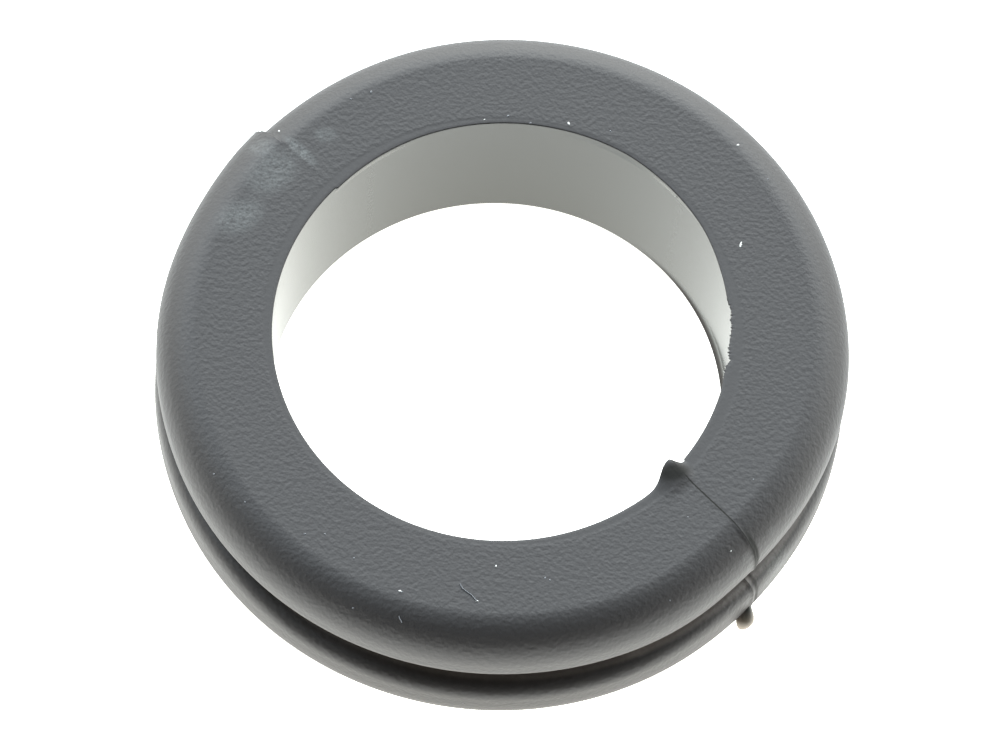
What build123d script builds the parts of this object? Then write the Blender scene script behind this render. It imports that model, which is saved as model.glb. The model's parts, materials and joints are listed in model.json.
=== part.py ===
from build123d import *

import os
from math import cos, radians, sin, sqrt

# Rubber grommet: one moulded ring that snaps into a round hole in a panel and lines
# it, so that a cable can pass through without touching the edge of the panel.
# Z is the axis of the bore and points up. The origin is on that axis, at the underside
# that the grommet rests on. Lengths are in millimetres and angles in degrees.

# The ring, in the fractions of an inch that such grommets are sold by.
bore_dia = 25.4  # 1 in, for the cable
panel_hole_dia = 31.75  # 1 1/4 in, the hole that the floor of the groove fills
rim_dia = 38.1  # 1 1/2 in over the two flanges
thickness = 9.525  # 3/8 in from face to face
panel_thickness = 1.588  # 1/16 in, the panel that the groove holds
shoulder_radius = 2.38  # 3/32 in, the rounding of each flange towards its face
lip_radius = 0.79  # 1/32 in, the rounding of each flange towards the groove
rim_land = 0.4  # least upright height left on a rim between its two roundings
crease_angle = 7  # slope of the rounding where it leaves the flat face

# The mould closes from two sides on a plane through the axis. Rubber that was squeezed
# into the joint stands up as a thin line across the top face and the upper flange.
parting_angle = -36.5  # turn of the parting plane about Z
flash_height = 0.08  # how far the line stands out
flash_width = 0.2  # across the line

# A drop of the same rubber hangs below the line, on the lower rim.
drop_radius = 0.42  # of its round end
drop_out = 0.62  # from the rim to the middle of the round end
drop_height = 1.75  # of the middle of the round end above the underside
drop_neck = 0.5  # height of the root along the rim
drop_thickness = 0.4  # across the parting plane
drop_bite = 0.03  # how deep the root reaches into the rim

# Sizes that follow from those above.
bore_radius = bore_dia / 2
groove_radius = panel_hole_dia / 2
rim_radius = rim_dia / 2
flange_thickness = (thickness - panel_thickness) / 2
groove_top = thickness - flange_thickness
upper_land = groove_top + lip_radius
lip_start = rim_radius - lip_radius
lip_cut = lip_radius * (1 - sqrt(0.5))  # from the corner of a lip to its middle
land_top = flange_thickness - lip_radius
shoulder = min(shoulder_radius, land_top - rim_land)
crease = radians(crease_angle)
shoulder_drop = shoulder * cos(crease)
crease_radius = rim_radius - shoulder * (1 - sin(crease))
root_radius = rim_radius - drop_bite
root_top = land_top

# The parting plane holds the axis. Its own X points away from the axis, and its own Y
# points up, so a section of the ring is drawn on it by radius and height.
outward = Vector(cos(radians(parting_angle)), sin(radians(parting_angle)), 0)
aside = Vector(sin(radians(parting_angle)), -cos(radians(parting_angle)), 0)
parting_plane = Plane(origin=(0, 0, 0), x_dir=outward, z_dir=aside)

with BuildPart() as grommet:
    # Each face of the ring is flat out to a soft crease, where the rounding of the flange
    # starts a few degrees steeper. The lips of the groove are rounded too, each in two
    # flat steps, so that the edge of a panel finds its way in. The edges of the bore and
    # the corners at the floor of the groove are sharp.
    with BuildSketch(parting_plane) as section:
        with BuildLine():
            RadiusArc((crease_radius, 0), (rim_radius, shoulder_drop), -shoulder)
            Polyline(
                (rim_radius, shoulder_drop),
                (rim_radius, land_top),
                (rim_radius - lip_cut, flange_thickness - lip_cut),
                (lip_start, flange_thickness),
                (groove_radius, flange_thickness),
                (groove_radius, groove_top),
                (lip_start, groove_top),
                (rim_radius - lip_cut, groove_top + lip_cut),
                (rim_radius, upper_land),
                (rim_radius, thickness - shoulder_drop),
            )
            RadiusArc(
                (rim_radius, thickness - shoulder_drop),
                (crease_radius, thickness),
                -shoulder,
            )
            Polyline(
                (crease_radius, thickness),
                (bore_radius, thickness),
                (bore_radius, 0),
                (crease_radius, 0),
            )
        make_face()
    revolve(axis=Axis.Z)

    # The flash is a thin slice of a slightly larger section, on one side of the axis. It
    # keeps clear of the bore, which a round pin forms, and runs out on the upper rim.
    with BuildSketch(parting_plane) as flash_section:
        offset(section.sketch_local, amount=flash_height)
        flash_span = rim_radius + flash_height - bore_radius
        flash_rise = thickness + flash_height - upper_land
        with Locations((bore_radius, upper_land)):
            Rectangle(
                flash_span,
                flash_rise,
                align=(Align.MIN, Align.MIN),
                mode=Mode.INTERSECT,
            )
    extrude(amount=flash_width / 2, both=True)

    # The drop is drawn out from its round end to its root, as a hull round the two.
    with BuildSketch(parting_plane) as drop_section:
        with BuildLine():
            CenterArc((rim_radius + drop_out, drop_height), drop_radius, 0, 360)
            Line((root_radius, root_top - drop_neck), (root_radius, root_top))
        make_hull()
    extrude(amount=drop_thickness / 2, both=True)

grommet.part.label = "grommet"

os.makedirs("parts", exist_ok=True)
export_step(grommet.part, "parts/grommet.step")

print("bore", bore_dia, "groove", panel_hole_dia, "by", panel_thickness)
print("rim", rim_dia, "thickness", thickness, "flange", flange_thickness)
print("volume", round(grommet.part.volume, 1), "solids", len(grommet.part.solids()))
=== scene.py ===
# %% [markdown]
# # A moulded rubber grommet
#
# The object is a black rubber ring that lines a hole in a panel. It was moulded in one
# piece, so there is one large mesh here, and a few small things that lie on it: a drop of
# flash, some dust and two scraps of lint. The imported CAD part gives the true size, and this
# script gives the ring the look that the photograph shows.
#
# Lengths are worked out in millimetres, which suit a ring of this size, and a finished
# mesh is scaled to metres once. Azimuth is the turn about the axis of the bore, from +X.

# %% Load the frame
import bmesh
import bpy
import json
import random
from math import atan2, cos, degrees, exp, hypot, pi, radians, sin
from mathutils import Matrix, Vector, noise
from mathutils.bvhtree import BVHTree


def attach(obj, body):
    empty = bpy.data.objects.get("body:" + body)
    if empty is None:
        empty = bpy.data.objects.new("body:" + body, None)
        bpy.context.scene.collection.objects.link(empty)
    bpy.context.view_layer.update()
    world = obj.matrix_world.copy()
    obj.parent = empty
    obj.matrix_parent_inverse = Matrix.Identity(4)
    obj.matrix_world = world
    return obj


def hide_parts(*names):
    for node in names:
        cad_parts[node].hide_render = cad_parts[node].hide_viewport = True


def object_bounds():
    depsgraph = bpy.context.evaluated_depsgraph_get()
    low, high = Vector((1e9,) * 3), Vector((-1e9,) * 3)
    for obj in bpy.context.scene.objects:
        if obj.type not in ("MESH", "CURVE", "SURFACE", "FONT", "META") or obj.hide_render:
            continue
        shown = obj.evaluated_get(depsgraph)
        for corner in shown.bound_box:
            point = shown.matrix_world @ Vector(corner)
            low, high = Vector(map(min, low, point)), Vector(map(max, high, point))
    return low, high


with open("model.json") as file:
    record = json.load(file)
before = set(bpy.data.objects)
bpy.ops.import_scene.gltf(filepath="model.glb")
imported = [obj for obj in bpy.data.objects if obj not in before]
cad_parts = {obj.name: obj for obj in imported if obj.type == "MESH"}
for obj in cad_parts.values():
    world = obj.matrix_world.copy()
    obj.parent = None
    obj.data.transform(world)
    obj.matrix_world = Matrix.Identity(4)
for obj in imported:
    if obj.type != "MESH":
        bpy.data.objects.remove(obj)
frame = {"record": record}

MM = 0.001
cad_low, cad_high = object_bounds()
print("CAD box in mm", [round(x / MM, 2) for x in cad_high - cad_low])

# %% [markdown]
# ## Sizes
#
# The sizes come from the frame where it has them: the bore and the middle of the height
# are a mount of the record, and the box of the node gives the rim. The others repeat the
# section of the CAD part, because a mesh of triangles does not say where a rounding ends.

# %% The sizes of the ring
mounts = {mount["name"]: mount for mount in frame["record"]["mounts"]}
bore_radius = mounts["bore"]["dims"]["r_mm"]
thickness = 2 * mounts["bore"]["pos_m"][2] / MM
rim_radius = (cad_high.x - cad_low.x) / 2 / MM
groove_radius = 15.875
groove_width = 1.588
shoulder_radius = 2.38
lip_radius = 0.79
crease_angle = radians(7)
parting_azimuth = -36.5

groove_low = (thickness - groove_width) / 2
groove_high = groove_low + groove_width
shoulder_drop = shoulder_radius * cos(crease_angle)
crease_radius = rim_radius - shoulder_radius * (1 - sin(crease_angle))
print("bore", bore_radius, "rim", round(rim_radius, 3), "thickness", round(thickness, 3))

# %% [markdown]
# ## The camera
#
# The photograph was taken from far away with a long lens, looking down at 63 degrees, with
# the camera turned a little about its own axis. The focal length was found in pixels of the
# photograph, and Blender wants it in millimetres of its sensor, so one is scaled to the
# other. The camera's place is a chain of simple moves, read from the right: back along its
# own axis, a roll, a tilt, and up to the middle of the ring.

# %% The camera
photo_width = 1000
photo_height = 750
focal_pixels = 8078
camera_elevation = radians(63.15)
camera_roll = radians(6.62)
camera_back = 444.88
camera_left = 0.0896
camera_up = -0.2627

lens = bpy.data.cameras.new("photo_camera")
lens.sensor_width = 36
lens.lens = focal_pixels * lens.sensor_width / photo_width
lens.clip_start = 0.01
lens.clip_end = 10
camera = bpy.data.objects.new("photo_camera", lens)
bpy.context.scene.collection.objects.link(camera)
bpy.context.scene.camera = camera

ring_middle = Vector((0, 0, thickness / 2))
camera.matrix_world = (
    Matrix.Translation(ring_middle * MM)
    @ Matrix.Rotation(pi / 2 - camera_elevation, 4, "X")
    @ Matrix.Rotation(camera_roll, 4, "Z")
    @ Matrix.Translation(Vector((-camera_left, camera_up, camera_back)) * MM)
)
print("camera at", [round(x, 4) for x in camera.matrix_world.translation], "lens", lens.lens)

# %% [markdown]
# Small faults are easiest to place where the photograph shows them. This helper follows the
# ray of one pixel down to a given height and gives the point there, in millimetres.


# %% From a pixel to a point
def seen_at(pixel, height):
    """The point at this height that the photograph shows at a pixel."""
    across = (pixel[0] - photo_width / 2) / focal_pixels
    upward = (photo_height / 2 - pixel[1]) / focal_pixels
    ray = camera.matrix_world.to_3x3() @ Vector((across, upward, -1))
    start = camera.matrix_world.translation / MM
    return start + ray * ((height - start.z) / ray.z)


def azimuth_of(point):
    return degrees(atan2(point.y, point.x))


front_crease_pixel = (500, 609.5)
front_crease = seen_at(front_crease_pixel, thickness)
print("the front crease lies", round(hypot(front_crease.x, front_crease.y), 2), "mm out")

# %% [markdown]
# ## Drawing the section
#
# A moulded ring is one section turned about an axis, so the section is drawn first, as a
# chain of edges in the XZ plane. A pen is the last vertex of the chain. A straight run
# extrudes the pen and moves the new vertex, and an arc spins the pen about a centre. Both
# cut their run into short edges, because the faults of the real ring are pushed into the
# finished mesh later, and only a vertex can be pushed.


# %% The pen
def draw_line(bm, pen, end, steps):
    """Extrude the pen in a straight line to (radius, height), and return the new pen."""
    start = pen.co.copy()
    target = Vector((end[0], 0, end[1]))
    for step in range(1, steps + 1):
        grown = bmesh.ops.extrude_vert_indiv(bm, verts=[pen])
        pen = grown["verts"][0]
        pen.co = start.lerp(target, step / steps)
    return pen


def draw_arc(bm, pen, centre, angle, steps):
    """Spin the pen about (radius, height) by an angle, outwards from the axis and down."""
    grown = bmesh.ops.spin(
        bm,
        geom=[pen],
        cent=(centre[0], 0, centre[1]),
        axis=(0, 1, 0),
        angle=angle,
        steps=steps,
    )
    return next(item for item in grown["geom_last"] if isinstance(item, bmesh.types.BMVert))


# %% [markdown]
# The chain starts at the lower end of the bore, climbs its wall, crosses the top face and
# goes down over the rounded shoulder. It rounds the upper lip into the groove, crosses its
# floor, rounds the lower lip out again, and comes back along the underside. The run near
# the top of the bore and the top face get the shortest edges, because the flash that
# pulled them out of shape is there. The last number of each stroke is its count of edges.

# %% The section of the ring
bore_edge = 0.06
fillet_top = 0.7
sail_foot = 8.1
quarter_turn = pi / 2
shoulder_turn = quarter_turn - crease_angle
shoulder_centre = rim_radius - shoulder_radius
lip_start = rim_radius - lip_radius

ring_mesh = bmesh.new()
pen = ring_mesh.verts.new((bore_radius, 0, bore_edge))
pen = draw_line(ring_mesh, pen, (bore_radius, fillet_top), 7)
pen = draw_line(ring_mesh, pen, (bore_radius, sail_foot), 8)
pen = draw_line(ring_mesh, pen, (bore_radius, thickness - bore_edge), 12)
pen = draw_arc(ring_mesh, pen, (bore_radius + bore_edge, thickness - bore_edge), quarter_turn, 3)
pen = draw_line(ring_mesh, pen, (crease_radius, thickness), 28)
upper_centre = (shoulder_centre, thickness - shoulder_drop)
pen = draw_arc(ring_mesh, pen, upper_centre, shoulder_turn, 20)
pen = draw_line(ring_mesh, pen, (rim_radius, groove_high + lip_radius), 4)
pen = draw_arc(ring_mesh, pen, (lip_start, groove_high + lip_radius), quarter_turn, 7)
pen = draw_line(ring_mesh, pen, (groove_radius, groove_high), 3)
pen = draw_line(ring_mesh, pen, (groove_radius, groove_low), 3)
pen = draw_line(ring_mesh, pen, (lip_start, groove_low), 3)
pen = draw_arc(ring_mesh, pen, (lip_start, groove_low - lip_radius), quarter_turn, 9)
pen = draw_line(ring_mesh, pen, (rim_radius, shoulder_drop), 4)
lower_centre = (shoulder_centre, shoulder_drop)
pen = draw_arc(ring_mesh, pen, lower_centre, shoulder_turn, 12)
pen = draw_line(ring_mesh, pen, (bore_radius + bore_edge, 0), 5)
pen = draw_arc(ring_mesh, pen, (bore_radius + bore_edge, bore_edge), quarter_turn, 3)
bmesh.ops.remove_doubles(ring_mesh, verts=ring_mesh.verts, dist=1e-4)
print("section of", len(ring_mesh.verts), "points,", len(ring_mesh.edges), "edges")

# %% [markdown]
# ## Turning the section into a ring
#
# The mould was split on a plane through the axis, and nearly all the faults of the ring lie
# where that plane cuts it, at the lower right and the upper left of the photograph. So the
# spin goes round in stages: fine steps over the two places with flash and over the torn
# edge of the bore, and coarse steps between them. A stage is a turn in degrees and a count
# of steps, and goes on from the edges that the last one left. The last stage ends where the
# first began, and merging the doubles closes the ring. A spin may leave the faces pointing
# inwards, so the normals are worked out again.

# %% The ring
fine_start = parting_azimuth - 10
stages = [(17, 85), (19, 38), (26, 104), (122, 122), (13, 52), (163, 163)]

bmesh.ops.rotate(
    ring_mesh,
    verts=ring_mesh.verts,
    cent=(0, 0, 0),
    matrix=Matrix.Rotation(radians(fine_start), 3, "Z"),
)
swept = list(ring_mesh.verts) + list(ring_mesh.edges)
for degrees_turned, steps in stages:
    grown = bmesh.ops.spin(
        ring_mesh,
        geom=swept,
        cent=(0, 0, 0),
        axis=(0, 0, 1),
        angle=radians(degrees_turned),
        steps=steps,
    )
    swept = grown["geom_last"]
bmesh.ops.remove_doubles(ring_mesh, verts=ring_mesh.verts, dist=1e-3)
bmesh.ops.recalc_face_normals(ring_mesh, faces=ring_mesh.faces)
ring_mesh.normal_update()
open_edges = sum(1 for edge in ring_mesh.edges if not edge.is_manifold)
print("ring of", len(ring_mesh.faces), "faces,", open_edges, "open edges")
print("turned", sum(stage[0] for stage in stages), "volume", round(ring_mesh.calc_volume(), 1))

# %% [markdown]
# The wall of the bore was moulded against a polished pin, so its faces take a second
# material. They are told apart now, while the ring is still round.

# %% The wall of the bore
for face in ring_mesh.faces:
    if all(hypot(v.co.x, v.co.y) < bore_radius + 1e-3 for v in face.verts):
        face.material_index = 1
print("faces in the bore", sum(face.material_index for face in ring_mesh.faces))

# %% [markdown]
# ## Out of true
#
# Soft rubber never comes out of a mould quite round. This ring is a seventieth longer than
# round one way and as much shorter the other way, the bore sits a little off the middle of
# the rim, and the rim sinks in at the joint between the mould halves. Such faults are too
# wide and soft for any operator on edges, so a loop moves each vertex by a few named
# pushes. Two small functions say how far a push reaches: a bell dies away on both sides,
# and a rise goes from 0 to 1.


# %% How far a push reaches
def bell(offset, width):
    return exp(-0.5 * (offset / width) ** 2)


def rise(value, start, end):
    share = min(1, max(0, (value - start) / (end - start)))
    return share * share * (3 - 2 * share)


def turn_from(azimuth, point):
    """Degrees from an azimuth to a point, from -180 to 180, anticlockwise being positive."""
    return (azimuth_of(point) - azimuth + 180) % 360 - 180


print("one width out, a bell keeps", round(bell(1, 1), 2), "of its height")

# %% [markdown]
# The half of the ring that faces the camera lies clockwise of the parting plane at the
# lower right, and the other half lies anticlockwise of it. The rim sinks in where the
# halves meet there. At the far end of the plane the near half stands out and the far half
# is drawn in, which leaves the small step in the outline at the upper left. Three wide
# swells follow the outline of the photograph, each with an azimuth, a height in mm and a
# width in degrees, and one of them is in the lower flange alone.

# %% The rim out of true
bore_shift = Vector((-0.156, 0.112, 0))
far_azimuth = parting_azimuth + 180
upper_sink = 0.28
lower_sink = 0.07
sink_width_clockwise = 9
sink_width_anticlockwise = 17
far_bulge = 0.17
far_bulge_width = 8
far_dent = 0.22
far_dent_width = 17
rim_swells = [(-8, 0.1, 14), (180, 0.13, 12)]
lower_swell = (-72, 0.11, 22)


def rim_push(point):
    """How far the rim lies outside its round shape, in mm."""
    turn = turn_from(parting_azimuth, point)
    upper_share = rise(point.z, groove_low, groove_high)
    sink = lower_sink + (upper_sink - lower_sink) * upper_share
    push = -sink * bell(turn, sink_width_clockwise if turn < 0 else sink_width_anticlockwise)
    far_turn = turn_from(far_azimuth, point)
    if far_turn > 0:
        push += far_bulge * bell(far_turn, far_bulge_width)
    else:
        push -= far_dent * bell(far_turn, far_dent_width)
    azimuth, swell, width = lower_swell
    push += swell * bell(turn_from(azimuth, point), width) * (1 - upper_share)
    for azimuth, swell, width in rim_swells:
        push += swell * bell(turn_from(azimuth, point), width)
    return push


left_end = Vector((-rim_radius, 0, thickness / 2))
print("at the left end the rim moves", round(rim_push(left_end), 3), "mm out")

# %% [markdown]
# The lips bound the groove, and soft lips do not lie quite flat after they leave the mould.
# The upper lip stands a quarter of a millimetre too high all round. The lower lip is true
# at the front, and rises towards the sides. The lift grows outwards from the root of the
# flange, so that the floor of the groove stays where it is.

# %% The lips out of true
front_azimuth = -90
upper_lift = 0.25
lower_lift = 0.4
lift_root = 16.5
lift_end = 18
lift_top = 7.1
lift_turn_start = 25
lift_turn_end = 50


def lip_lift(point):
    """How far the lips of the groove stand above their true height, in mm."""
    outside = rise(hypot(point.x, point.y), lift_root, lift_end)
    if point.z > thickness / 2:
        return upper_lift * outside * (1 - rise(point.z, groove_high + lip_radius, lift_top))
    off_front = abs(turn_from(front_azimuth, point))
    lift = lower_lift * rise(off_front, lift_turn_start, lift_turn_end)
    return lift * outside * rise(point.z, shoulder_drop, groove_low)


front_lip = Vector((0, -rim_radius, groove_high))
print("at the front the upper lip moves", round(lip_lift(front_lip), 3), "mm up")

# %% [markdown]
# ## The flash
#
# Where the mould closed, rubber crept into the joint and set as a thin line. On the near
# side it is a hair-thin step across the top face, and from the shoulder on a ridge that
# stands up from the skin. On the far side it is a faint ridge all the way. A bevel along
# the plane would give a hard-edged ridge, so the line is a push along the normal, as wide
# as a bell of less than a tenth of a millimetre.

# %% The line
parting_ray = Vector((cos(radians(parting_azimuth)), sin(radians(parting_azimuth)), 0))
parting_normal = Vector((-parting_ray.y, parting_ray.x, 0))
line_height = 0.06
line_width = 0.08
near_line_start = 17
near_line_full = 18.2
far_line_start = 13.2
far_line_full = 14.2
far_line_share = 0.15


def line_push(point, across):
    """How far the flash stands up from the skin of the ring, in mm."""
    radius = hypot(point.x, point.y)
    if point.dot(parting_ray) > 0:
        strength = rise(radius, near_line_start, near_line_full)
    else:
        strength = far_line_share * rise(radius, far_line_start, far_line_full)
    return line_height * bell(across, line_width) * strength


print("on the rim the line stands", round(line_push(parting_ray * rim_radius, 0), 3), "mm up")

# %% [markdown]
# At the edge of the bore the flash grew into a small sail, which leans over the hole. It is
# no separate fin: the corner of the edge was drawn up and inwards there, steep on the far
# side of the plane and in a long slope on the near side. So it is one lopsided bell, which
# is later used twice, to lift the edge and to draw it over the bore.

# %% The sail
sail_height = 0.42
sail_reach = 0.65
sail_crest = 0.22
near_slope = 1.15
near_slope_power = 2.4
far_slope = 0.26


def sail_share(across):
    """1 on the crest of the sail, falling slowly on the near side and fast on the far side."""
    lean = across - sail_crest
    return exp(-abs(lean / near_slope) ** near_slope_power) if lean < 0 else bell(lean, far_slope)


print("half a millimetre short of its crest the sail keeps", round(sail_share(sail_crest - 0.5), 2))

# %% [markdown]
# The core pin left a thin lip of flash along the upper edge of the bore, on the far half.
# It hangs over the wall by a quarter of a millimetre, and is torn at the right. Each pair
# gives an azimuth and the reach of the lip there in mm, as the photograph shows it.

# %% The lip over the bore
torn_lip = [
    (-32, 0.12),
    (-11, 0.22),
    (-5, 0.33),
    (-3.6, 0.28),
    (-1.8, 0.09),
    (-1.2, 0.22),
    (1.3, 0.28),
    (4.6, 0.22),
    (7, 0.15),
    (9.5, 0.18),
    (11.3, 0.11),
    (13, 0.15),
    (14.5, 0.24),
    (24, 0.18),
    (36, 0.04),
    (54, 0),
    (64, -0.06),
    (84, 0),
    (118, 0),
    (143.3, 0.1),
    (143.9, 0),
]


def lip_reach(azimuth):
    """How far the lip hangs over the bore at an azimuth, in straight runs between tears."""
    for (start, reach), (end, next_reach) in zip(torn_lip, torn_lip[1:]):
        if start <= azimuth < end:
            return reach + (next_reach - reach) * (azimuth - start) / (end - start)
    return 0


print("at azimuth 0 the lip hangs", round(lip_reach(0), 3), "mm over the bore")

# %% [markdown]
# Where the lip tore, its edge is ragged. Pairs would make a long and dull list of teeth, so
# the fine ones come from noise that runs along the tear, and fade out at its two ends.

# %% The teeth of the tear
tooth_reach = 0.14
teeth_per_degree = 2.3
tear_start = -8
tear_full_start = -4
tear_full_end = 12
tear_end = 16


def tear_teeth(azimuth):
    """The fine teeth of the tear, which come and go within a tenth of a millimetre."""
    torn = rise(azimuth, tear_start, tear_full_start)
    torn *= 1 - rise(azimuth, tear_full_end, tear_end)
    return tooth_reach * torn * noise.noise(Vector((azimuth * teeth_per_degree, 0, 0)))


teeth = [tear_teeth(tenth / 10) for tenth in range(10 * tear_start, 10 * tear_end)]
print("teeth from", round(min(teeth), 3), "to", round(max(teeth), 3), "mm")

# %% [markdown]
# Below the lip the wall is a little hollow on the right, where the rubber shrank away from
# the pin as it cooled. It runs back to its lower edge in a fillet.

# %% The hollow of the wall
hollow_depth = 0.3
hollow_full_start = 0
hollow_full_end = 10
hollow_end = 65


def hollow_reach(azimuth):
    """How deep the wall of the bore is hollow at an azimuth."""
    depth = hollow_depth * rise(azimuth, parting_azimuth, hollow_full_start)
    return depth * (1 - rise(azimuth, hollow_full_end, hollow_end))


print("at azimuth 0 the wall is hollow by", round(hollow_reach(0), 3), "mm")

# %% [markdown]
# Each push fades out with the radius or the height, so that it meets the skin around it
# without a crease. The values below are the radii and heights where such a fade begins or
# ends. All pushes of a vertex are worked out from where it stood on the round ring, and
# added up before it moves.

# %% Pushing the vertices
rim_fade_start = 14.5
rim_fade_end = 17.5
bore_fade_start = 13
bore_fade_end = 16.5
step_height = 0.008
step_start = -0.04
step_end = 0.06
step_turn = 12
step_foot = thickness - 3
step_full = thickness - 1
sail_rise_end = 13.9
sail_reach_end = 13.6
lip_end = 13.3
lip_foot = thickness - 0.6
lip_full = thickness - 0.2

for vertex in ring_mesh.verts:
    point = vertex.co.copy()
    radius = hypot(point.x, point.y)
    outward = Vector((point.x, point.y, 0)) / radius
    across = point.dot(parting_normal)
    near_flash = point.dot(parting_ray) > 0
    push = outward * rim_push(point) * rise(radius, rim_fade_start, rim_fade_end)
    push += bore_shift * (1 - rise(radius, bore_fade_start, bore_fade_end))
    push += vertex.normal * line_push(point, across)
    push.z += lip_lift(point)
    if near_flash:
        on_top = rise(point.z, step_foot, step_full)
        turn = turn_from(parting_azimuth, point)
        push.z += step_height * rise(across, step_start, step_end) * bell(turn, step_turn) * on_top
        crest = sail_share(across) * rise(point.z, sail_foot, thickness - bore_edge)
        push.z += sail_height * crest * (1 - rise(radius, bore_radius, sail_rise_end))
        push -= outward * sail_reach * crest * (1 - rise(radius, bore_radius, sail_reach_end))
    if radius < lip_end:
        azimuth = azimuth_of(point)
        lip_share = rise(point.z, lip_foot, lip_full)
        lip_share *= 1 - rise(radius, bore_radius, lip_end)
        fillet = 1 - (1 - min(1, point.z / fillet_top)) ** 3
        wall_share = fillet * (1 - lip_share) * (radius < bore_radius + 0.01)
        push -= outward * (lip_reach(azimuth) + tear_teeth(azimuth)) * lip_share
        push += outward * hollow_reach(azimuth) * wall_share
    vertex.co = point + push
print("top of the sail at", round(max(v.co.z for v in ring_mesh.verts), 2), "mm")

# %% [markdown]
# The oval comes last. The scale is taken along the long way of the oval, which a turned
# space gives, so that one operator does it for the whole ring.

# %% The oval
oval_share = 0.0143
oval_azimuth = 63
bmesh.ops.scale(
    ring_mesh,
    verts=ring_mesh.verts,
    vec=(1 + oval_share, 1 - oval_share, 1),
    space=Matrix.Rotation(radians(-oval_azimuth), 4, "Z"),
)
ring_mesh.normal_update()
print("volume after the faults", round(ring_mesh.calc_volume(), 1))

# %% [markdown]
# ## The drop of flash
#
# Under the rim, where the joint of the mould leaves the lower flange, some rubber ran out and
# set as a drop that hangs by a neck. It is a ball drawn along a line: each ring of the ball
# keeps its own radius, made smaller towards the neck, and moves to its place on the line.

# %% The drop
neck_pixel = (747.2, 600)
neck_level = 2.35
tip_pixel = (740.9, 629.2)
tip_level = 0.85
drop_neck = seen_at(neck_pixel, neck_level)
drop_tip = seen_at(tip_pixel, tip_level)
drop_radius = 0.53
neck_share = 0.5
neck_end = 0.1
belly_start = 0.75
drop_sag = Vector((0.12, -0.02, 0))

drop_mesh = bmesh.new()
bmesh.ops.create_uvsphere(drop_mesh, u_segments=32, v_segments=24, radius=1)
down_drop = (drop_tip - drop_neck).to_track_quat("-Z", "Y").to_matrix()
for vertex in drop_mesh.verts:
    along = (1 - vertex.co.z) / 2
    reach = drop_radius * (neck_share + (1 - neck_share) * rise(along, neck_end, belly_start))
    sideways = Vector((vertex.co.x, vertex.co.y, 0)) * reach
    axis_point = drop_neck.lerp(drop_tip, along) + drop_sag * 4 * along * (1 - along)
    vertex.co = axis_point + down_drop @ sideways
drop_mesh.normal_update()
print("drop of", round(drop_mesh.calc_volume(), 2), "cubic mm")

# %% [markdown]
# ## Dust and lint
#
# Dust lies where it fell, so each speck is placed by the pixel that shows it. The ray of the
# pixel is followed to the ring, and the speck is pressed flat on the skin that it meets.

# %% From a pixel to the skin
ring_tree = BVHTree.FromBMesh(ring_mesh)


def met_at(pixel):
    """The point of the ring that a pixel shows, and the normal of the skin there."""
    start = camera.matrix_world.translation / MM
    ray = (seen_at(pixel, 0) - start).normalized()
    place, normal, face, distance = ring_tree.ray_cast(start, ray)
    return place, normal


front_face_pixel = (500, 580)
front_place, front_normal = met_at(front_face_pixel)
print("a pixel of the top face meets the ring at height", round(front_place.z, 2))

# %% [markdown]
# A speck is a small ball, flattened to half its height and turned at random, so that no two
# look alike. Each line gives the pixel across, the pixel down and the size of the speck in
# mm. White dust and grey dust are two objects, because they differ in colour.

# %% Specks of dust
white_specks = [
    (279, 131, 0.06),
    (484.5, 119.5, 0.04),
    (568.6, 123.5, 0.08),
    (675.5, 196.5, 0.05),
    (738, 145, 0.07),
    (741.2, 243, 0.065),
    (740.8, 244.6, 0.065),
    (740.4, 246.2, 0.065),
    (400, 591, 0.07),
    (496, 566, 0.055),
    (477, 601, 0.06),
    (731, 551, 0.04),
]
grey_specks = [
    (371, 92, 0.07),
    (351, 99, 0.055),
    (508, 116, 0.07),
    (530.5, 123, 0.055),
    (610.5, 131, 0.05),
    (768, 179, 0.05),
    (677, 197, 0.05),
    (214, 474, 0.05),
    (245, 502, 0.05),
    (305, 534, 0.055),
    (325, 534, 0.05),
    (354, 558, 0.055),
    (353, 608, 0.05),
    (402, 592, 0.05),
    (545, 578, 0.055),
    (550, 580, 0.05),
    (463, 703, 0.05),
    (753.5, 479.5, 0.04),
    (688, 517, 0.04),
    (670, 600.5, 0.04),
]
speck_form = Matrix.Diagonal((1.25, 0.8, 0.5, 1))


def add_speck(bm, pixel, size, turn):
    """Press a small ball of dust on the skin at a pixel."""
    place, normal = met_at(pixel)
    ball = bmesh.ops.create_icosphere(bm, subdivisions=2, radius=size)
    facing = normal.to_track_quat("Z", "Y").to_matrix().to_4x4()
    lay = Matrix.Translation(place) @ facing @ Matrix.Rotation(turn, 4, "Z") @ speck_form
    bmesh.ops.transform(bm, verts=ball["verts"], matrix=lay)


turns = random.Random(7)
white_dust_mesh = bmesh.new()
for across, down, size in white_specks:
    add_speck(white_dust_mesh, (across, down), size, turns.uniform(0, pi))
grey_dust_mesh = bmesh.new()
for across, down, size in grey_specks:
    add_speck(grey_dust_mesh, (across, down), size, turns.uniform(0, pi))
print(len(white_specks) + len(grey_specks), "specks of dust")

# %% [markdown]
# Two scraps of lint are thin tubes: a ring of edges is drawn along a few points on the skin,
# and each step is extruded from the last.

# %% Lint
lint_paths = [
    [(460, 584), (462.5, 588.5), (467, 592), (471.5, 595), (475, 599), (477, 601.5)],
    [(399, 615.8), (399.6, 618.4), (401, 620.4), (401.8, 622.6)],
]
lint_radius = 0.028


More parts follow.
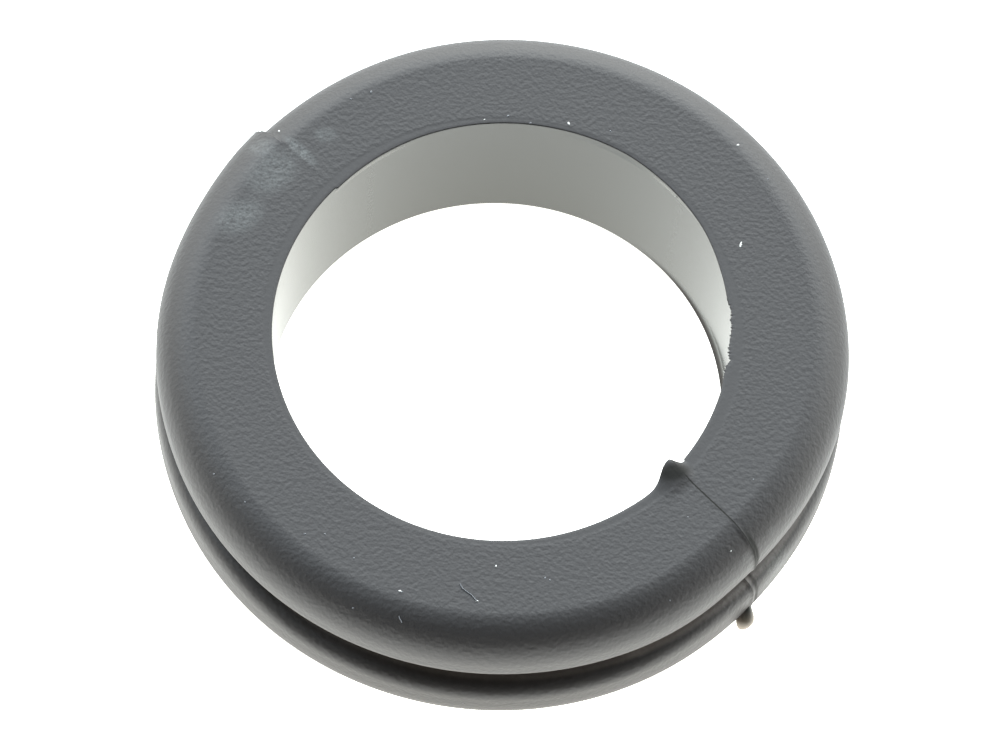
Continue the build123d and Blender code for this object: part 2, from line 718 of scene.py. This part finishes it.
def add_lint(bm, pixels):
    """Draw a tube over the skin through the places that a row of pixels shows."""
    places = []
    for pixel in pixels:
        place, normal = met_at(pixel)
        places.append(place + normal * lint_radius)
    facing = (places[1] - places[0]).to_track_quat("Z", "Y").to_matrix().to_4x4()
    end = Matrix.Translation(places[0]) @ facing
    circle = bmesh.ops.create_circle(bm, cap_ends=True, segments=8, radius=lint_radius, matrix=end)
    swept = circle["verts"][0].link_faces[0]
    for start, stop in zip(places, places[1:]):
        grown = bmesh.ops.extrude_discrete_faces(bm, faces=[swept])
        swept = grown["faces"][0]
        bmesh.ops.translate(bm, verts=swept.verts, vec=stop - start)


lint_mesh = bmesh.new()
for pixels in lint_paths:
    add_lint(lint_mesh, pixels)
bmesh.ops.remove_doubles(lint_mesh, verts=lint_mesh.verts, dist=1e-4)
bmesh.ops.recalc_face_normals(lint_mesh, faces=lint_mesh.faces)
print("lint of", len(lint_mesh.faces), "faces")

# %% [markdown]
# ## Colours and nodes
#
# Colours are written as hex codes, as a colour picker shows them, and one function turns
# them to the linear numbers that Blender mixes. A second function adds a node with its
# settings and its links, so that a material reads as a list of what it is made of.


# %% Colours and nodes
def colour(code):
    """Turn a hex code such as #303132 to linear red, green, blue and an alpha of 1."""
    channels = [int(code[place:place + 2], 16) / 255 for place in (1, 3, 5)]
    linear = [c / 12.92 if c <= 0.04045 else ((c + 0.055) / 1.055) ** 2.4 for c in channels]
    return (*linear, 1)


def add_node(tree, kind, sockets=None, **settings):
    """Add a node. A socket gets a value, an output to link, or a node to link from.

    A node has outputs that its settings turn off, so the first one still on is linked.
    """
    node = tree.nodes.new(kind)
    for name, value in settings.items():
        setattr(node, name, value)
    for name, value in (sockets or {}).items():
        if isinstance(value, bpy.types.Node):
            value = next(output for output in value.outputs if output.enabled)
        if isinstance(value, bpy.types.NodeSocket):
            tree.links.new(value, node.inputs[name])
        else:
            node.inputs[name].default_value = value
    return node


def start_material(name):
    """A new material with nothing in it, and its node tree."""
    material = bpy.data.materials.new(name)
    material.use_nodes = True
    material.node_tree.nodes.clear()
    return material, material.node_tree


print("a colour of #808080 is", round(colour("#808080")[0], 3), "in linear light")

# %% [markdown]
# ## The rubber skin
#
# The ring is black rubber, filled with soot and moulded in a cavity that was roughened by
# spark erosion. The eye gets three things from that: a grey that is nearly black, a sheen
# that is weak from above and strong at a low angle, and a fine pebble grain of a quarter of
# a millimetre. The grain is a bump, because as geometry it would need millions of faces.
# A narrow land round the bore is smoother than the rest, so the grain fades there.

# %% The pebble grain
pebble_size = 0.25
pebble_depth = 0.034
land_start = bore_radius + 0.3
land_end = bore_radius + 0.55
land_grain = 0.3
any_height = 1000

rubber, tree = start_material("rubber_eroded_cavity")
where = add_node(tree, "ShaderNodeTexCoord").outputs["Object"]
pebbles = add_node(
    tree,
    "ShaderNodeTexNoise",
    {"Vector": where, "Scale": 1 / (pebble_size * MM), "Detail": 1, "Roughness": 0.5},
)
off_bore = add_node(
    tree,
    "ShaderNodeMapping",
    {"Vector": where, "Location": bore_shift * MM, "Scale": (MM, MM, any_height)},
    vector_type="TEXTURE",
)
from_bore = add_node(tree, "ShaderNodeVectorMath", {0: off_bore}, operation="LENGTH")
pebbled = add_node(
    tree,
    "ShaderNodeMapRange",
    {"Value": from_bore, "From Min": land_start, "From Max": land_end, "To Min": land_grain},
    interpolation_type="SMOOTHSTEP",
)
relief = add_node(tree, "ShaderNodeMath", {0: pebbles, 1: pebbled}, operation="MULTIPLY")
grain = add_node(
    tree,
    "ShaderNodeBump",
    {"Height": relief, "Strength": 1, "Distance": pebble_depth * MM},
)
print("grain of", pebble_size, "mm,", pebble_depth, "mm deep")

# %% [markdown]
# ## Scuffs, stains, painted highlights and painted shade
#
# The ring is dusty at the upper left: it has soft pale patches there, broken up by a fine grit. The
# same pale colour also paints highlights on the upper rim beside the ridge at the lower right. The
# sail and the ridges get painted shade: they are darker and duller than the skin round them. All
# are oval patches with a soft edge, and each is placed by the pixel that shows its middle and by
# its level above the floor. Turning and scaling the coordinates with a Mapping node makes any oval
# a unit ball, so the distance from its middle is all that is needed.

# %% An oval patch
patch_depth = 5
patch_core = 0.35


def patch(tree, where, pixel, level, length, width, turn):
    """1 in the middle of an oval patch of the skin and 0 outside it, with its sizes in mm."""
    ball = add_node(
        tree,
        "ShaderNodeMapping",
        {
            "Vector": where,
            "Location": seen_at(pixel, level) * MM,
            "Rotation": (0, 0, radians(turn)),
            "Scale": Vector((length, width, patch_depth)) / 2 * MM,
        },
        vector_type="TEXTURE",
    )
    reach = add_node(tree, "ShaderNodeVectorMath", {0: ball}, operation="LENGTH")
    return add_node(
        tree,
        "ShaderNodeMapRange",
        {"Value": reach, "From Min": 1, "From Max": patch_core},
        interpolation_type="SMOOTHSTEP",
    )


print("a patch fades out over", round(100 * (1 - patch_core)), "per cent of its reach")

# %% [markdown]
# Each scuff or painted highlight has a pixel, a level, a length, a width, the azimuth of its length
# and a strength. The last two lines are painted highlights on the upper rim beside the ridge, and
# the others are pale dust and scuff patches. Their shares are added up and then broken by a fine
# grit noise.

# %% Scuff patches and painted highlights
scuffs_and_highlights = [
    ((272, 172), thickness, 4.4, 3.2, 50, 0.34),
    ((240, 216), thickness, 3.8, 2.6, 40, 0.36),
    ((262, 146), thickness, 2.2, 1.6, 0, 0.3),
    ((301, 151), thickness, 3.2, 0.9, -40, 0.5),
    ((326, 135), thickness, 1.8, 1.2, 0, 0.3),
    ((766, 574), 2.7, 5, 2, 40, 0.45),
    # these two patches paint highlights on the upper rim, in the pale colour of the dust
    ((741, 573), 6.3, 3, 0.9, 50, 0.8),
    ((768, 546), 6.3, 2.2, 0.8, 56, 0.6),
]
film_grit = 0.16

grit_noise = add_node(
    tree,
    "ShaderNodeTexNoise",
    {"Vector": where, "Scale": 1 / (film_grit * MM), "Detail": 3, "Roughness": 0.7},
)
grit_mask = add_node(
    tree,
    "ShaderNodeMapRange",
    {"Value": grit_noise, "From Min": 0.3, "From Max": 0.8},
)
scuffed_and_highlighted = 0
for pixel, level, length, width, turn, strength in scuffs_and_highlights:
    share = patch(tree, where, pixel, level, length, width, turn)
    scuffed_and_highlighted = add_node(
        tree,
        "ShaderNodeMath",
        {0: share, 1: strength, 2: scuffed_and_highlighted},
        operation="MULTIPLY_ADD",
    )
scuffed_and_highlighted = add_node(tree, "ShaderNodeMath", {0: scuffed_and_highlighted, 1: grit_mask}, operation="MULTIPLY")
print(len(scuffs_and_highlights), "scuffs_and_highlights")

# %% [markdown]
# Deep in the groove no finger rubs the moulding powder away, so its floor is paler than the
# skin outside. The mask needs both a height between the lips and a radius inside them.

# %% Powder in the groove
powder_foot = 0.03
powder_foot_full = 0.04
powder_top = 0.35
powder_top_full = 0.1
powder_edge = 18.55
powder_full = 18.2

height = add_node(tree, "ShaderNodeSeparateXYZ", {"Vector": where}).outputs["Z"]
above = add_node(
    tree,
    "ShaderNodeMapRange",
    {
        "Value": height,
        "From Min": (groove_low - powder_foot) * MM,
        "From Max": (groove_low + powder_foot_full) * MM,
    },
)
below = add_node(
    tree,
    "ShaderNodeMapRange",
    {
        "Value": height,
        "From Min": (groove_high + powder_top) * MM,
        "From Max": (groove_high + powder_top_full) * MM,
    },
)
flattened = add_node(
    tree,
    "ShaderNodeMapping",
    {"Vector": where, "Scale": (MM, MM, any_height)},
    vector_type="TEXTURE",
)
from_axis = add_node(tree, "ShaderNodeVectorMath", {0: flattened}, operation="LENGTH")
inside = add_node(
    tree,
    "ShaderNodeMapRange",
    {"Value": from_axis, "From Min": powder_edge, "From Max": powder_full},
    interpolation_type="SMOOTHSTEP",
)
between = add_node(tree, "ShaderNodeMath", {0: above, 1: below}, operation="MULTIPLY")
powdered = add_node(tree, "ShaderNodeMath", {0: between, 1: inside}, operation="MULTIPLY")
print("powder from", round(groove_low, 2), "to", round(groove_high + powder_top, 2), "mm up")

# %% [markdown]
# The parting line on the top face is a dark hair, partly dirt in the joint and partly painted shade
# of the small step there. Its mask is a patch too, but one that is long, tall and only a tenth of a
# millimetre wide, laid along the two pixels where the photograph shows the line begin and end. The
# sail and the two ridges below it take a short, wider patch each, which paints shade on them.

# %% Dirt and painted shade in the parting line, and painted shade on the flash
line_start_pixel = (684, 475)
line_end_pixel = (733, 521)
sail_pixel = (674, 474)
ridge_pixel = (750.4, 550)
ridge_level = 7.8
low_ridge_pixel = (746.6, 588)
low_ridge_level = 2.7
line_start = seen_at(line_start_pixel, thickness)
line_end = seen_at(line_end_pixel, thickness)
line_turn = degrees(atan2(line_end.y - line_start.y, line_end.x - line_start.x))
line_half_sizes = Vector((6.6, 0.06, 12))
line_core = 0.5
line_place = add_node(
    tree,
    "ShaderNodeMapping",
    {
        "Vector": where,
        "Location": (line_start + line_end) / 2 * MM,
        "Rotation": (0, 0, radians(line_turn)),
        "Scale": line_half_sizes * MM,
    },
    vector_type="TEXTURE",
)
off_line = add_node(tree, "ShaderNodeVectorMath", {0: line_place}, operation="LENGTH")
dirt_and_shade = add_node(
    tree,
    "ShaderNodeMapRange",
    {"Value": off_line, "From Min": 1, "From Max": line_core},
    interpolation_type="SMOOTHSTEP",
)
# painted shade on the sail and on the dark side of both ridges
sail_shade = patch(tree, where, sail_pixel, thickness, 2.6, 1.5, 20)
ridge_shade = patch(tree, where, ridge_pixel, ridge_level, 3.8, 0.6, line_turn)
low_ridge_shade = patch(tree, where, low_ridge_pixel, low_ridge_level, 2.5, 0.5, line_turn)
for share in (sail_shade, ridge_shade, low_ridge_shade):
    dirt_and_shade = add_node(tree, "ShaderNodeMath", {0: dirt_and_shade, 1: share}, operation="MAXIMUM")
print("the parting line runs at azimuth", round(line_turn, 1))

# %% [markdown]
# The masks now mix the colours one over the other: the soot-filled rubber, the powder in the
# groove, the pale scuff patches and painted highlights, and the dirt and painted shade on top. Dirt
# has no sheen, so that mask also raises the roughness, which dulls the painted shade on the sail
# and the ridges as well. The IOR of 1.5 is that of rubber.

# %% The finished skin
clean_rubber = colour("#35312f")
groove_powder = colour("#79726c")
# pale for the dust and scuff patches, and for the painted highlights on the rim
pale_dust_and_highlight = colour("#8a8d8a")
# dark for the dirt in the parting line, and for painted shade on the line, the sail and the ridges
dark_dirt_and_shade = colour("#211f1b")
skin_roughness = 0.55
dirt_and_shade_roughness = 0.4

base = add_node(
    tree,
    "ShaderNodeMix",
    {"Factor": powdered, "A": clean_rubber, "B": groove_powder},
    data_type="RGBA",
)
base = add_node(
    tree,
    "ShaderNodeMix",
    {"Factor": scuffed_and_highlighted, "A": base, "B": pale_dust_and_highlight},
    data_type="RGBA",
)
base = add_node(
    tree,
    "ShaderNodeMix",
    {"Factor": dirt_and_shade, "A": base, "B": dark_dirt_and_shade},
    data_type="RGBA",
)
roughness = add_node(
    tree,
    "ShaderNodeMath",
    {0: dirt_and_shade, 1: dirt_and_shade_roughness, 2: skin_roughness},
    operation="MULTIPLY_ADD",
)
skin = add_node(
    tree,
    "ShaderNodeBsdfPrincipled",
    {"Base Color": base, "Roughness": roughness, "IOR": 1.5, "Normal": grain},
)
add_node(tree, "ShaderNodeOutputMaterial", {"Surface": skin})
print("the skin is made of", len(tree.nodes), "nodes")

# %% [markdown]
# ## The wall of the bore
#
# The polished pin gave the wall a smooth, satin skin. It mirrors the bright floor at a low
# angle, so the photograph shows it nearly white. The IOR was raised to 1.72 to match that,
# as a thin film of wax, which blooms on such rubber, would do. A faint ripple keeps the
# wall from looking like glass. Its foot on the right is browner and duller.

# %% Rubber from the polished pin
foot_top = 0.5
foot_full = 0.1
# the wall turns to a browner, duller foot from here towards +X
foot_left = 5.5
foot_right = 10.5
ripple_size = 0.35
ripple_depth = 0.003
wall_roughness = 0.22
foot_roughness = 0.5

bore_rubber, tree = start_material("rubber_polished_pin")
where = add_node(tree, "ShaderNodeTexCoord").outputs["Object"]
axes = add_node(tree, "ShaderNodeSeparateXYZ", {"Vector": where}).outputs
low = add_node(
    tree,
    "ShaderNodeMapRange",
    {"Value": axes["Z"], "From Min": foot_top * MM, "From Max": foot_full * MM},
    interpolation_type="SMOOTHSTEP",
)
to_right = add_node(
    tree,
    "ShaderNodeMapRange",
    {"Value": axes["X"], "From Min": foot_left * MM, "From Max": foot_right * MM},
    interpolation_type="SMOOTHSTEP",
)
foot = add_node(tree, "ShaderNodeMath", {0: low, 1: to_right}, operation="MULTIPLY")
base = add_node(
    tree,
    "ShaderNodeMix",
    {"Factor": foot, "A": colour("#4e504c"), "B": colour("#38302a")},
    data_type="RGBA",
)
wall_noise = add_node(
    tree,
    "ShaderNodeTexNoise",
    {"Vector": where, "Scale": 1 / (ripple_size * MM), "Detail": 3, "Roughness": 0.6},
)
ripple = add_node(
    tree,
    "ShaderNodeBump",
    {"Height": wall_noise, "Strength": 1, "Distance": ripple_depth * MM},
)
roughness = add_node(
    tree,
    "ShaderNodeMath",
    {0: foot, 1: foot_roughness, 2: wall_roughness},
    operation="MULTIPLY_ADD",
)
skin = add_node(
    tree,
    "ShaderNodeBsdfPrincipled",
    {"Base Color": base, "Roughness": roughness, "IOR": 1.72, "Normal": ripple},
)
add_node(tree, "ShaderNodeOutputMaterial", {"Surface": skin})
print("the wall is made of", len(tree.nodes), "nodes")

# %% [markdown]
# ## The rubber of the drop
#
# The drop is flash that was squeezed out of the joint. Its colour turns from black at its neck to a
# brownish grey at its tip, by a blend over height.

# %% Rubber of the drop
neck_height = 2.1
tip_height = 1.3

thin_flash, tree = start_material("rubber_thin_flash")
where = add_node(tree, "ShaderNodeTexCoord").outputs["Object"]
height = add_node(tree, "ShaderNodeSeparateXYZ", {"Vector": where}).outputs["Z"]
down_neck = add_node(
    tree,
    "ShaderNodeMapRange",
    {"Value": height, "From Min": neck_height * MM, "From Max": tip_height * MM},
)
base = add_node(
    tree,
    "ShaderNodeMix",
    {"Factor": down_neck, "A": colour("#3c3b36"), "B": colour("#9a8c7c")},
    data_type="RGBA",
)
skin = add_node(
    tree,
    "ShaderNodeBsdfPrincipled",
    {"Base Color": base, "Roughness": 0.4, "IOR": 1.5},
)
add_node(tree, "ShaderNodeOutputMaterial", {"Surface": skin})
print("the drop turns pale between", neck_height, "and", tip_height, "mm above the floor")

# %% [markdown]
# ## Dust
#
# Dust scatters the light that it gets and has no gloss, so a plain colour and a high
# roughness are enough. The bright specks are nearly white, and the dull ones and the lint
# are grey.

# %% Dust
dust_roughness = 0.9
dusts = []
for name, code in (("dust_white", "#e4e2dc"), ("dust_grey", "#7c7c7e")):
    dust, tree = start_material(name)
    skin = add_node(
        tree,
        "ShaderNodeBsdfPrincipled",
        {"Base Color": colour(code), "Roughness": dust_roughness},
    )
    add_node(tree, "ShaderNodeOutputMaterial", {"Surface": skin})
    dusts.append(dust)
bright_dust, dull_dust = dusts
print("two kinds of dust:", bright_dust.name, "and", dull_dust.name)

# %% [markdown]
# ## The finished objects
#
# The meshes become objects at the origin, with their place in the mesh, as the imported CAD part
# has. Smooth shading hides the small facets, and an edge that turns by more than 50 degrees stays
# sharp. The ring stands in for the solid of the CAD part, and all the pieces ride on its one body.

# %% The finished objects
sharp_angle = radians(50)


def make_object(bm, name, *materials):
    """Scale a mesh from millimetres to metres and make it an object at the origin."""
    bmesh.ops.scale(bm, verts=bm.verts, vec=(MM, MM, MM))
    mesh = bpy.data.meshes.new(name)
    for face in bm.faces:
        face.smooth = True
    for edge in bm.edges:
        edge.smooth = edge.calc_face_angle(0) < sharp_angle
    bm.to_mesh(mesh)
    bm.free()
    for material in materials:
        mesh.materials.append(material)
    made = bpy.data.objects.new(name, mesh)
    bpy.context.scene.collection.objects.link(made)
    return made


ring = make_object(ring_mesh, "ring", rubber, bore_rubber)
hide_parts("grommet")
drop = make_object(drop_mesh, "flash_drop", thin_flash)
white_dust = make_object(white_dust_mesh, "white_dust", bright_dust)
grey_dust = make_object(grey_dust_mesh, "grey_dust", dull_dust)
lint = make_object(lint_mesh, "lint", dull_dust)
for piece in (ring, drop, white_dust, grey_dust, lint):
    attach(piece, "root")
    print(piece.name, "has", len(piece.data.polygons), "faces")

# %% [markdown]
# ## The floor
#
# The photograph's ground is burnt out to plain white, and it lights the ring from below.
# Matt paper alone can't be that bright, so the floor also glows by itself: strongly in
# front of the ring, where it lights the lower flange, and less behind it. Further out the
# glow fades away, and the plain paper goes on.

# %% Floor
table_half = 1500
sheet_edge = 110
sheet_full = 45
glow_front = -30
glow_back = 33
front_strength = 2.85
back_strength = 0.95

table_mesh = bmesh.new()
bmesh.ops.create_grid(table_mesh, x_segments=1, y_segments=1, size=table_half)
white_table, tree = start_material("matt_white_paper")
where = add_node(tree, "ShaderNodeTexCoord").outputs["Object"]
from_ring = add_node(tree, "ShaderNodeVectorMath", {0: where}, operation="LENGTH")
sheet = add_node(
    tree,
    "ShaderNodeMapRange",
    {"Value": from_ring, "From Min": sheet_edge * MM, "From Max": sheet_full * MM},
    interpolation_type="SMOOTHSTEP",
)
backward = add_node(tree, "ShaderNodeSeparateXYZ", {"Vector": where}).outputs["Y"]
lit_below = add_node(
    tree,
    "ShaderNodeMapRange",
    {
        "Value": backward,
        "From Min": glow_front * MM,
        "From Max": glow_back * MM,
        "To Min": front_strength,
        "To Max": back_strength,
    },
    interpolation_type="SMOOTHSTEP",
)
strength = add_node(tree, "ShaderNodeMath", {0: sheet, 1: lit_below}, operation="MULTIPLY")
paper = add_node(tree, "ShaderNodeBsdfDiffuse", {"Color": colour("#f3f3f3")})
glow = add_node(tree, "ShaderNodeEmission", {"Color": colour("#fffff7"), "Strength": strength})
lit_paper = add_node(tree, "ShaderNodeAddShader", {0: paper, 1: glow})
add_node(tree, "ShaderNodeOutputMaterial", {"Surface": lit_paper})
table = make_object(table_mesh, "table", white_table)
print("floor of", 2 * table_half, "mm")

# %% [markdown]
# ## The light tent
#
# Small shiny things are photographed in a tent of white cloth, with lamps outside it. The
# lamps show on the cloth as soft glows with no edge, and rubber mirrors them as broad, soft
# bands. Area lamps would leave their square edges on the shoulder, so the world is the
# cloth: each glow has an azimuth, an elevation and a strength, and fades by the cosine of
# the angle to its middle. The tent is a little bluer at the top.

# %% The light tent
tent_spread = 14
tent_glows = [
    (10, 30, 1.4),
    (25, 8, 3.3),
    (45, 30, 4.2),
    (75, 30, 5.7),
    (90, 8, 4.7),
    (105, 30, 3.2),
    (135, 30, 5.6),
    (150, 58, 2.6),
    (155, 8, 1.2),
    (170, 30, 1.8),
]
blue_gain = 1.6
blue_start = -0.4

room = bpy.data.worlds.new("light_tent")
bpy.context.scene.world = room
room.use_nodes = True
tree = room.node_tree
tree.nodes.clear()
toward = add_node(tree, "ShaderNodeTexCoord").outputs["Generated"]
brightness = 0
for azimuth, elevation, strength in tent_glows:
    aim = Matrix.Rotation(radians(azimuth), 3, "Z") @ Matrix.Rotation(radians(-elevation), 3, "Y")
    facing = add_node(
        tree,
        "ShaderNodeVectorMath",
        {0: toward, 1: aim @ Vector((1, 0, 0))},
        operation="DOT_PRODUCT",
    )
    fade = add_node(
        tree,
        "ShaderNodeMath",
        {0: facing, 1: tent_spread, 2: -tent_spread},
        operation="MULTIPLY_ADD",
    )
    glow = add_node(tree, "ShaderNodeMath", {0: fade}, operation="EXPONENT")
    brightness = add_node(
        tree,
        "ShaderNodeMath",
        {0: glow, 1: strength, 2: brightness},
        operation="MULTIPLY_ADD",
    )
upward = add_node(tree, "ShaderNodeSeparateXYZ", {"Vector": toward}).outputs["Z"]
blue_share = add_node(
    tree,
    "ShaderNodeMath",
    {0: upward, 1: blue_gain, 2: blue_start},
    operation="MULTIPLY_ADD",
)
tint = add_node(
    tree,
    "ShaderNodeMix",
    {"Factor": blue_share, "A": colour("#fcfffc"), "B": colour("#dcefff")},
    data_type="RGBA",
)
cloth = add_node(tree, "ShaderNodeBackground", {"Color": tint, "Strength": brightness})
add_node(tree, "ShaderNodeOutputWorld", {"Surface": cloth})
bpy.context.scene.view_settings.view_transform = "Standard"
print("tent with", len(tent_glows), "glows")
